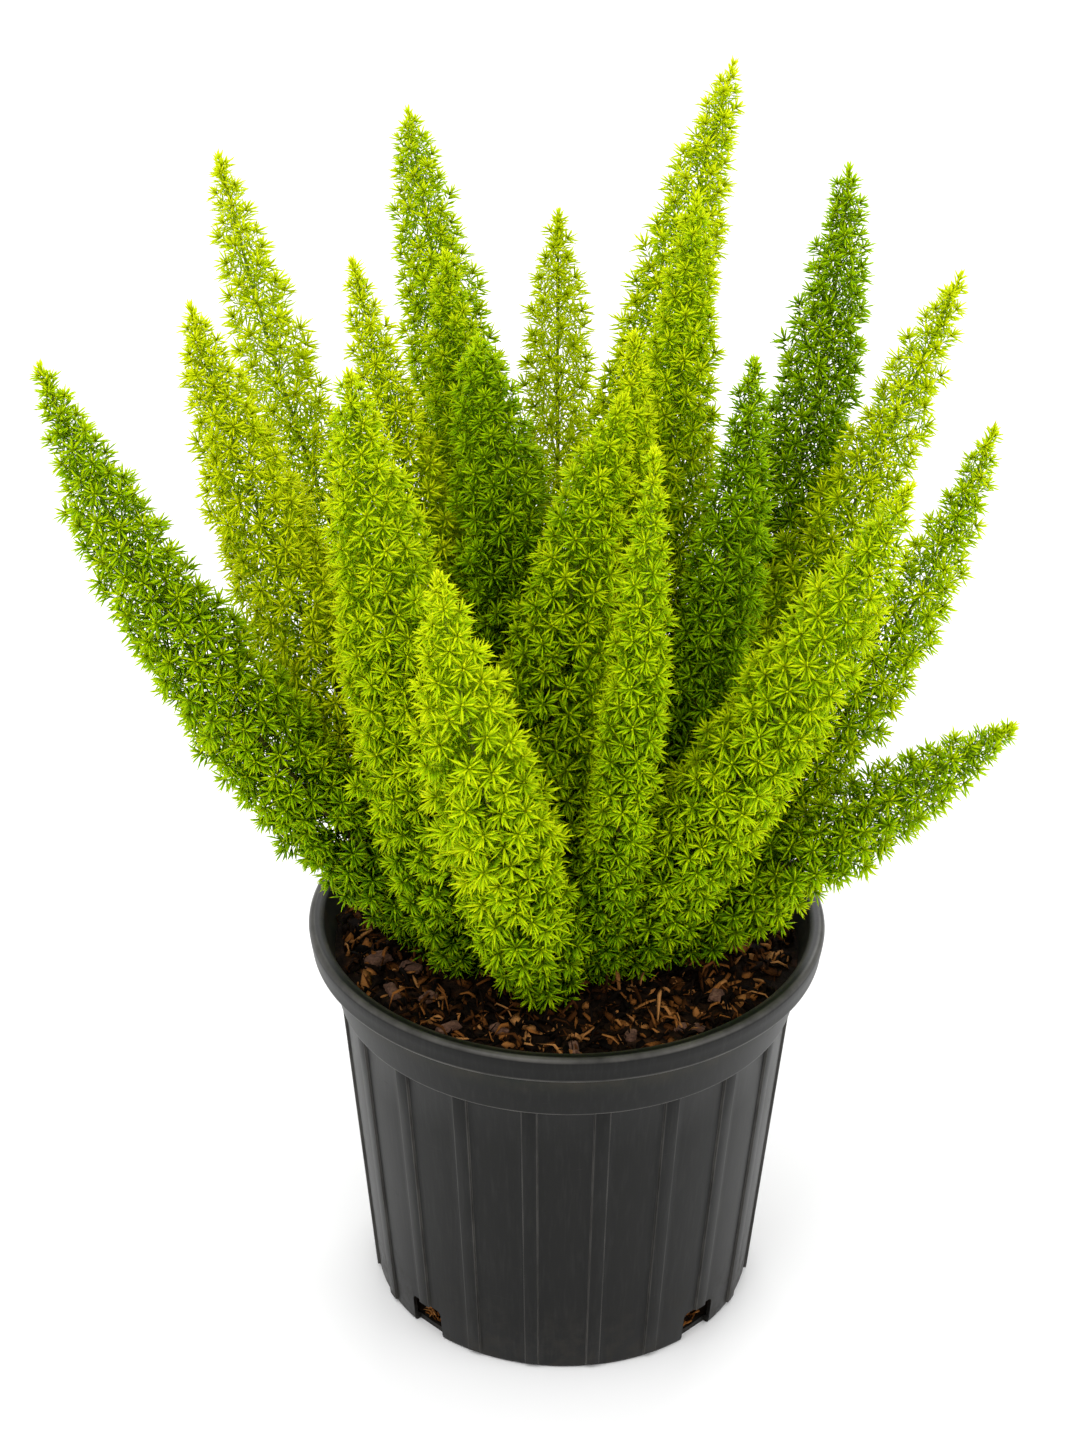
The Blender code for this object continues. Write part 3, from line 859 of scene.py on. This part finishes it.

# girth, tone from 0 deep to 1 bright, partly painted light: raised past 1 for a plume with light behind it
# and lowered for a plume in shade; airiness from 0 dense to 1 open, length of a needle, and how sharply the
# tip tapers; sizes in mm
HABITS = [
    (27, 0.44, 0.05, 8.8, 1.00), (30, 1.64, 0.00, 8.8, 1.00), (25, 1.42, 0.50, 9.4, 0.84),
    (30, 0.72, 0.00, 8.6, 1.05), (28, 0.88, 0.00, 9.8, 1.10), (22, 1.40, 0.10, 8.6, 0.92),
    (28, 1.02, 0.20, 8.6, 0.88), (23, 0.86, 0.00, 8.2, 0.90), (30, 0.80, 0.00, 8.6, 0.85),
    (25, 2.30, 0.45, 9.0, 0.88), (28, 1.14, 0.10, 9.0, 0.95), (25, 1.00, 0.00, 8.4, 0.95),
    (20, 1.00, 0.00, 8.4, 0.90), (27, 0.72, 0.00, 9.0, 0.95), (17, 0.34, 0.00, 8.4, 1.00),
    (22, 0.46, 0.00, 8.6, 0.95), (26, 0.76, 0.00, 8.8, 0.88), (25, 1.08, 0.40, 9.2, 0.88),
    (26, 0.68, 0.00, 9.4, 1.05), (22, 0.80, 0.35, 8.8, 0.92), (23, 0.50, 0.00, 9.0, 0.90),
]


def branchlets(shoot, girth, airy, needle, taper, draw):
    """Where each branchlet leaves its stem, its heading, its length and the share along the plume."""
    shares, angles = [], []
    share, angle = 0.012, draw.uniform(0, math.tau)
    while share < 0.985:
        width = girth * np.interp(share, OUTLINE_AT, OUTLINE_WIDTH) ** taper
        size = needle * needle_share(share)
        gap = STAR_GAP * size * (1 + 0.16 * airy) * np.interp(share, GAP_AT, GAP_SHARE)
        ring = math.tau * max(width - STAR_INSET * size, 0.35 * size)
        share += PACKING * gap * gap / ring / shoot.length
        angle += GOLDEN_TURN
        shares.append(share)
        angles.append(angle + draw.normal(0, 0.12))
    shares = np.minimum(np.array(shares), 0.992)
    angles = np.array(angles)
    width = girth * np.interp(shares, OUTLINE_AT, OUTLINE_WIDTH) ** taper * draw.normal(1, 0.08, len(shares))
    size = needle * needle_share(shares)
    heading = shoot.heading(shares)
    first, second = perpendicular(heading)
    outward = first * np.cos(angles)[:, None] + second * np.sin(angles)[:, None]
    rise = np.radians(np.interp(shares, RISE_AT, RISE) + draw.normal(0, 5, len(shares)))
    reach = np.maximum(width - TWIG_INSET * size, 0.25 * size)
    length = reach / np.cos(rise)
    axis = unit(outward * np.cos(rise)[:, None] + heading * np.sin(rise)[:, None])
    foot = shoot.at(np.clip(shares - length * np.sin(rise) / shoot.length * 0.8, 0.0, 1.0))
    tip = foot + axis * length[:, None]
    return foot, tip, axis, length, shares


def needle_share(share):
    """Needles are a little shorter at the foot and much shorter in the young tip."""
    return np.interp(share, NEEDLE_AT, NEEDLE_SHARE)


def whorl(heap, needle, place, axis, opening, count, length, width, tone, draw):
    """A ring of needles round each axis, opened to an angle from it."""
    total = len(place) * count
    owner = np.repeat(np.arange(len(place)), count)
    first, second = perpendicular(axis)
    turn = draw.uniform(0, math.tau, len(place))[owner]
    turn += np.tile(np.arange(count) * math.tau / count, len(place))
    turn += draw.normal(0, 0.22, total)
    tilt = np.radians(opening + draw.normal(0, 8, total))
    across = first[owner] * np.cos(turn)[:, None] + second[owner] * np.sin(turn)[:, None]
    heading = unit(axis[owner] * np.cos(tilt)[:, None] + across * np.sin(tilt)[:, None])
    size = length[owner] * draw.uniform(0.82, 1.12, total)
    thick = width[owner] * draw.uniform(0.9, 1.1, total)
    keep = place[owner][:, 2] > SOIL
    heap.add(needle, place[owner][keep], heading[keep], size[keep], thick[keep],
             draw.normal(0, 0.03, total)[keep], draw.uniform(0, math.tau, total)[keep],
             (tone[owner] + draw.normal(0, 0.045, total))[keep])


def grow(number, shoot, girth, tone, airy, needle, taper):
    """All the twigs and needles of one plume, as one piece."""
    draw = np.random.default_rng(500 + number)
    heap = Heap()
    foot, tip, axis, length, share = branchlets(shoot, girth, airy, needle, taper, draw)
    size = needle * needle_share(share)
    thin = NEEDLE_THIN + NEEDLE_STOUT * size
    # Each branchlet's tone shifts along the plume: much darker at the foot, paler towards the tip.
    twig_tone = 0.30 * tone + 0.40 + 0.18 * np.interp(share, TONE_SHIFT_AT, TONE_SHIFT) + draw.normal(0, 0.05, len(foot))
    clear = foot[:, 2] > SOIL
    twigs = clear.sum()
    heap.add(TWIG, foot[clear], axis[clear], length[clear], np.full(twigs, TWIG_THICK), np.zeros(twigs),
             draw.uniform(0, 6, twigs), np.linspace(0.02, 0.10 + 0.5 * tone, twigs))
    for opening, needles, forward, reach, brighter in STAR:
        base = tip + axis * (forward * size)[:, None]
        whorl(heap, NEEDLE, base, axis, opening, needles, size * reach, thin, twig_tone + brighter, draw)
    inner_thick = thin * (np.interp(share, INNER_AT, INNER_THICK) - 0.3 * airy)
    for step, depth in enumerate(INNER_DEPTHS):
        inner = tip - axis * (depth * size)[:, None]
        deep = length > depth * size + 1 * MM
        shade = (twig_tone - (0.05 - 0.04 * airy) * (step + 1))[deep]
        whorl(heap, SPLINTER, inner[deep], axis[deep], INNER_OPENING, INNER_COUNT, size[deep],
              inner_thick[deep], shade, draw)
    bud_share = np.linspace(0.955, 1.0, 7)
    bud = shoot.at(bud_share)
    bud_size = needle * np.linspace(0.75, 0.6, 7)
    whorl(heap, NEEDLE, bud, shoot.heading(bud_share), 34, 5, bud_size, np.full(7, BUD_THICK),
          np.full(7, 0.88 + 0.1 * tone), draw)
    whorl(heap, NEEDLE, bud[-2:], shoot.heading(bud_share[-2:]), 12, 4, bud_size[-2:] * 1.1,
          np.full(2, BUD_THICK), np.full(2, 1.0), draw)
    plume = heap.piece(f"foxtail_{number:02d}")
    settle(plume, FOLIAGE[slots[shoot.plume]], [shoot.plume], 0)
    return len(plume.data.polygons)


totals = [grow(i + 1, shoot, girth * MM, tone, airy, needle * MM, taper)
          for i, (shoot, (girth, tone, airy, needle, taper)) in enumerate(zip(SHOOTS, HABITS))]
print("plumes:", len(totals), "with", sum(totals), "triangles, the largest", max(totals))

# %% [markdown]
# ## The wiry stems
#
# A stem is a tapered rod a couple of millimetres thick with a slight knee every dozen millimetres. One
# straight rod is made from a cylinder, cut across many times, and every stem is a copy bent along its line.
# Its map runs up the stem, so that the finish can go from woody brown at the foot to green at the tip.

# %% One straight stem, bent twenty-one times
STEM_CUTS = 34
STEM_FOOT = 2.1 * MM
STEM_TIP = 0.55 * MM
STEM_SINK = 0.02
KNEE_GAP = 12 * MM
KNEE_SWELL = 0.13

deselect()
bpy.ops.mesh.primitive_cylinder_add(
    vertices=8, radius=1, depth=1, location=(0, 0, 0.5), end_fill_type="TRIFAN")
rod = bpy.context.object
rod.name = "straight_stem"
bpy.ops.object.transform_apply(location=True, rotation=True, scale=True)
for cut in range(1, STEM_CUTS):
    bpy.ops.object.mode_set(mode="EDIT")
    bpy.ops.mesh.select_all(action="SELECT")
    bpy.ops.mesh.bisect(plane_co=(0, 0, cut / STEM_CUTS), plane_no=(0, 0, 1))
    bpy.ops.object.mode_set(mode="OBJECT")
straight = corners(rod)

wiry = Finish("wiry_stem", Specular_IOR_Level=0.3)
chart = wiry.chart()
up = wiry.split(chart)[1]
streak = wiry.noise(chart, 9.0, 4.0, 0.7, stretch=(3, 6, 1))
fleck = wiry.noise(chart, 60.0, 3.0, 0.6, stretch=(1, 4, 1))
rind = wiry.ramp(
    up + (streak - 0.5) * 0.25,
    [(0.02, (0.050, 0.026, 0.010)), (0.22, (0.095, 0.062, 0.014)),
     (0.50, (0.110, 0.125, 0.012)), (0.90, (0.190, 0.290, 0.010))],
)
rind = wiry.mix(fleck.over(0.58, 0.70) * 0.5, rind, (0.060, 0.024, 0.010))
wiry.paint(Base_Color=rind, Roughness=0.5 + streak * 0.2, Normal=wiry.bump(streak, 0.2 * MM, 0.6))


def bend_stem(number, shoot):
    """A copy of the straight stem laid along one shoot, with a knee every dozen millimetres."""
    share = straight[:, 2] - STEM_SINK
    heading = shoot.heading(np.clip(share, 0, 1))
    first, second = perpendicular(heading)
    knee = 1 + KNEE_SWELL * np.maximum(0, np.cos(straight[:, 2] * shoot.length / KNEE_GAP * math.tau)) ** 3
    radius = (STEM_FOOT + (STEM_TIP - STEM_FOOT) * straight[:, 2] ** 0.8) * knee
    places = shoot.at(share) + first * (straight[:, :1] * radius[:, None])
    places += second * (straight[:, 1:2] * radius[:, None])
    stem = bpy.data.objects.new(f"wiry_stem_{number:02d}", rod.data.copy())
    scene.collection.objects.link(stem)
    set_corners(stem, places)
    while stem.data.uv_layers:
        stem.data.uv_layers.remove(stem.data.uv_layers[0])
    layer = stem.data.uv_layers.new(name="OFBake")
    turn = np.abs(np.arctan2(straight[:, 1], straight[:, 0])) / math.pi
    chart = np.stack([0.01 + 0.98 * turn, 0.01 + 0.98 * straight[:, 2]], 1)
    owner = np.array([loop.vertex_index for loop in stem.data.loops])
    layer.data.foreach_set("uv", chart[owner].astype(np.float32).ravel())
    settle(stem, wiry.material, [shoot.stem], 60)
    return len(stem.data.polygons)


faces = [bend_stem(i + 1, shoot) for i, shoot in enumerate(SHOOTS)]
bpy.data.objects.remove(rod)
print("stems:", len(faces), "of", faces[0], "faces each")

# %% [markdown]
# ## The crown
#
# The stems rise from a woody crown, a knotted dome that is half sunk in the mix. It is turned like the pot,
# then swelled and knotted with noise. Dry stubs of old stems stand between the green ones.

# %% The crown
CROWN = 44 * MM
CROWN_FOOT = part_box("root_crown")[0].z
CROWN_EDGE = MIX_TOP - 1.5 * MM
CROWN_RISE = 5.0 * MM
crown_outline = [(0, CROWN_FOOT), (CROWN * 0.7, CROWN_FOOT), (CROWN * 0.95, CROWN_FOOT + 5 * MM)]
for slope in np.linspace(0, 1.45, 22):
    crown_outline.append((CROWN * math.cos(slope), CROWN_EDGE + CROWN_RISE * math.sin(slope)))
crown = turned("knotted_crown", crown_outline + [(0, MIX_TOP + 3.5 * MM)], 96)
points = corners(crown)
for i, (px, py, pz) in enumerate(points):
    if pz > MIX_TOP - 3 * MM:
        knots = noise.fractal(Vector((px * 90, py * 90, 9.3)), 1.0, 2.0, 5)
        points[i, 2] += 2.2 * MM * knots
set_corners(crown, points)

wood = Finish("crown_wood", Specular_IOR_Level=0.25)
place = wood.place()
knot = wood.noise(place, 120.0, 5.0, 0.65)
strand = wood.noise(place, 500.0, 4.0, 0.7)
skin = wood.ramp(
    knot * 0.6 + strand * 0.4,
    [(0.30, (0.006, 0.004, 0.002)), (0.55, (0.030, 0.016, 0.007)), (0.80, (0.120, 0.070, 0.030))],
)
wood.paint(Base_Color=skin, Roughness=0.95 - knot * 0.2, Normal=wood.bump(knot + strand * 0.5, 1.5 * MM, 0.9))
settle(crown, wood.material, ["root_crown"], 60)

stub = Finish("dry_stub", Specular_IOR_Level=0.3)
tone, along = stub.split(stub.chart())[:2]
straw = stub.ramp(
    tone,
    [(0.0, (0.030, 0.016, 0.007)), (0.5, (0.130, 0.078, 0.028)), (1.0, (0.320, 0.215, 0.090))],
)
damp_foot = stub.mix(along.over(0.6, 0.0) * 0.6, straw, (0.035, 0.020, 0.008))
stub.paint(Base_Color=damp_foot, Roughness=0.9 - tone * 0.2)
draw = np.random.default_rng(71)
heap = Heap()
STUBS = 46
ring = CROWN * np.sqrt(draw.uniform(0.02, 0.95, STUBS))
angle = np.arange(STUBS) * GOLDEN_TURN
feet = np.stack([ring * np.cos(angle), ring * np.sin(angle), np.full(STUBS, MIX_TOP + 0.5 * MM)], 1)
lean = np.stack([feet[:, 0] * 6, feet[:, 1] * 6, np.full(STUBS, 0.35)], 1)
lean = unit(lean + draw.normal(0, 0.12, (STUBS, 3)))
heap.add(TWIG, feet, lean, draw.uniform(9, 26, STUBS) * MM, draw.uniform(1.2, 3.4, STUBS) * MM,
         draw.normal(0, 0.05, STUBS), draw.uniform(0, 6, STUBS), draw.uniform(0.02, 0.98, STUBS))
stubs = heap.piece("old_stem_stubs")
settle(stubs, stub.material, [], 0)
print("crown:", len(crown.data.polygons), "faces and", STUBS, "stubs")

# %% [markdown]
# ## Loose bark
#
# Close up, potting mix is a tangle: stringy fibres, thin flakes and crumbly lumps, with black gaps between
# them. Each of the three is modelled once, then strewn over the top with its own size and tilt, the fibres
# also with a bend. The same fibres fill the drain notches, where the mix shows through.

# %% Fibre, flake and lump
FIBRE = slip("fibre", [0.3, 0.72], [0.30, 0.5, 0.42])


def rough_lump(name, seed, flatness, fineness):
    """A small icosphere pushed about by noise, of unit length along X."""
    deselect()
    bpy.ops.mesh.primitive_ico_sphere_add(subdivisions=fineness, radius=0.5, location=(0.5, 0, 0))
    piece = bpy.context.object
    piece.name = name
    bpy.ops.object.transform_apply(location=True, rotation=True, scale=True)
    shape, faces = taken_apart(piece)
    for i, point in enumerate(shape):
        swell = 1 + 0.7 * noise.noise(Vector(point) * 3 + Vector((seed, 0, 0)))
        shape[i] = (0.5 + (point[0] - 0.5) * swell, point[1] * swell, point[2] * swell * flatness)
    return shape, faces


FLAKES = [rough_lump("flake", seed, 0.20, 1) for seed in (1, 5)]
LUMPS = [rough_lump("lump", seed, 0.75, 2) for seed in (2, 7, 11)]
print("fibre:", len(FIBRE[1]), "triangles, flake:", len(FLAKES[0][1]), "lump:", len(LUMPS[0][1]))

# %% Strewing the top
shreds = Finish("shredded_bark", Specular_IOR_Level=0.06)
chart = shreds.chart()
tone = shreds.split(chart)[0]
grain = shreds.noise(chart, 14.0, 4.0, 0.7, stretch=(9, 2, 1))
tint = shreds.ramp(
    tone + (grain - 0.5) * 0.22,
    [(0.00, (0.0016, 0.0009, 0.0004)), (0.38, (0.008, 0.0034, 0.0010)), (0.58, (0.070, 0.0230, 0.0045)),
     (0.78, (0.250, 0.0920, 0.0190)), (1.00, (0.460, 0.2150, 0.0700))],
)
shreds.paint(Base_Color=tint, Roughness=0.90 - grain * 0.25, Normal=shreds.bump(grain, 0.5 * MM, 0.8))
INNER_WALL = 114.2 * MM
STREWN_RING = 112 * MM


def strew(heap, prototype, count, lengths, widths, tilt, tones, draw):
    """Scatter copies over the top of the mix, none through the pot's wall."""
    ring = STREWN_RING * np.sqrt(draw.uniform(0, 1, count))
    angle = draw.uniform(0, math.tau, count)
    x, y = ring * np.cos(angle), ring * np.sin(angle)
    z = np.array([mix_height(*place) for place in zip(x, y)]) + draw.uniform(-0.8, 1.6, count) * MM
    turn, slope = draw.uniform(0, math.tau, count), np.radians(draw.normal(0, tilt, count))
    heading = np.stack([np.cos(turn) * np.cos(slope), np.sin(turn) * np.cos(slope), np.sin(slope)], 1)
    length = draw.uniform(*lengths, count) * MM
    width = draw.uniform(*widths, count) * MM
    place = np.stack([x, y, z], 1) - heading * length[:, None] / 2
    ends = [place, place + heading * length[:, None]]
    kept = np.all([np.linalg.norm(end[:, :2], axis=1) + width / 2 < INNER_WALL for end in ends], axis=0)
    bend, roll = draw.normal(0, 0.36, count), draw.uniform(0, math.tau, count)
    if prototype is not FIBRE:
        bend, roll = bend * 0, draw.normal(0, 0.5, count)
    tone = np.clip(draw.beta(*tones, count), 0.01, 0.99)
    heap.add(prototype, *(array[kept] for array in (place, heading, length, width, bend, roll, tone)))
    return int(kept.sum())


draw = np.random.default_rng(23)
heap = Heap()
counts = [strew(heap, FIBRE, 2700, (4, 17), (0.6, 2.8), 34, (0.85, 1.20), draw)]
counts += [strew(heap, flake, 640, (4, 16), (2.0, 7.5), 38, (0.80, 1.25), draw) for flake in FLAKES]
counts += [strew(heap, lump, 150, (2.5, 8), (2.0, 6.0), 30, (1.1, 1.9), draw) for lump in LUMPS]
loose = heap.piece("loose_bark")
settle(loose, shreds.material, [], 0)
print("loose bark:", sum(counts), "bits,", len(loose.data.polygons), "triangles")

# %% Fibres in the drain notches
PER_NOTCH = 70
NOTCH_RING = 87.5 * MM
NOTCH_SILL = 3.4 * MM

heap = Heap()
for azimuth in NOTCH_TURNS:
    turn = np.radians(azimuth + draw.uniform(-5.0, 5.0, PER_NOTCH))
    ring = NOTCH_RING + draw.uniform(-7, 3.0, PER_NOTCH) * MM
    height = NOTCH_SILL + draw.uniform(0, 1, PER_NOTCH) ** 1.4 * 6 * MM
    feet = np.stack([ring * np.cos(turn), ring * np.sin(turn), height], 1)
    sideways = np.stack([-np.sin(turn), np.cos(turn), np.zeros(PER_NOTCH)], 1)
    heading = unit(sideways * draw.choice([-1, 1], PER_NOTCH)[:, None] + draw.normal(0, 0.45, (PER_NOTCH, 3)))
    length = draw.uniform(3, 7, PER_NOTCH) * MM
    feet -= heading * length[:, None] / 2
    tone = np.clip(draw.normal(0.72, 0.14, PER_NOTCH), 0.05, 0.98)
    tone[:2] = 0.03, 0.97
    heap.add(FIBRE, feet, heading, length, draw.uniform(0.7, 1.8, PER_NOTCH) * MM,
             draw.normal(0, 0.1, PER_NOTCH), draw.uniform(0, 6, PER_NOTCH), tone)
notch_fibres = heap.piece("notch_fibres")
settle(notch_fibres, shreds.material, [], 0)
print("notch fibres:", len(NOTCH_TURNS) * PER_NOTCH)

# %% [markdown]
# ## Bark chips
#
# A dozen larger chips of pine bark lie on top. The frame has each as a plain wedge in its own place. A
# merged copy is cut finer, its corners are rounded, and noise flakes its faces into thin layers.

# %% Chips
chip_bark = Finish("chip_bark", Specular_IOR_Level=0.3)
place = chip_bark.place()
layer = chip_bark.noise(place, 260.0, 4.0, 0.65, stretch=(1, 1, 3))
pore = chip_bark.noise(place, 900.0, 3.0, 0.6)
red = chip_bark.ramp(
    layer * 0.7 + pore * 0.3,
    [(0.32, (0.020, 0.009, 0.005)), (0.50, (0.085, 0.038, 0.021)), (0.68, (0.190, 0.098, 0.060)),
     (0.85, (0.330, 0.205, 0.140))],
)
rough = chip_bark.bump(layer + pore * 0.4, 0.8 * MM, 0.9)
chip_bark.paint(Base_Color=red, Roughness=0.95 - layer * 0.2, Normal=rough)


def rough_chip(name, seed):
    """A flaked and rounded copy of one of the frame's chips."""
    chip = bpy.data.objects.new("flaked_" + name, nodes[name].data.copy())
    scene.collection.objects.link(chip)
    only(chip)
    bpy.ops.object.mode_set(mode="EDIT")
    bpy.ops.mesh.select_mode(type="VERT")
    bpy.ops.mesh.select_all(action="SELECT")
    bpy.ops.mesh.remove_doubles(threshold=1e-5)
    bpy.ops.mesh.subdivide(number_cuts=4)
    bpy.ops.mesh.vertices_smooth(factor=0.5, repeat=2)
    bpy.ops.object.mode_set(mode="OBJECT")
    points = corners(chip)
    middle = points.mean(0)
    for i, point in enumerate(points):
        push = noise.fractal(Vector(point) * 320 + Vector((seed * 3.1, 0, 0)), 1.0, 2.0, 3)
        points[i] = middle + (point - middle) * (1.06 + 0.22 * push)
    set_corners(chip, points)
    settle(chip, chip_bark.material, [name], 40)
    return len(chip.data.polygons)


CHIPS = sorted(name for name in nodes if name.startswith("bark_chip"))
faces = [rough_chip(name, seed) for seed, name in enumerate(CHIPS)]
print("chips:", len(faces), "of about", faces[0], "faces")

# %% [markdown]
# ## Both boxes
#
# The finished look should fill the frame's box and pass it only by the length of a needle. The last cell
# prints by how much it passes on each side.

# %% Both boxes
look_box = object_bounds()
for axis in range(3):
    low_side, high_side = cad_box[0][axis] - look_box[0][axis], look_box[1][axis] - cad_box[1][axis]
    print("XYZ"[axis], "passes the frame by", round(low_side / MM, 1), "and", round(high_side / MM, 1), "mm")
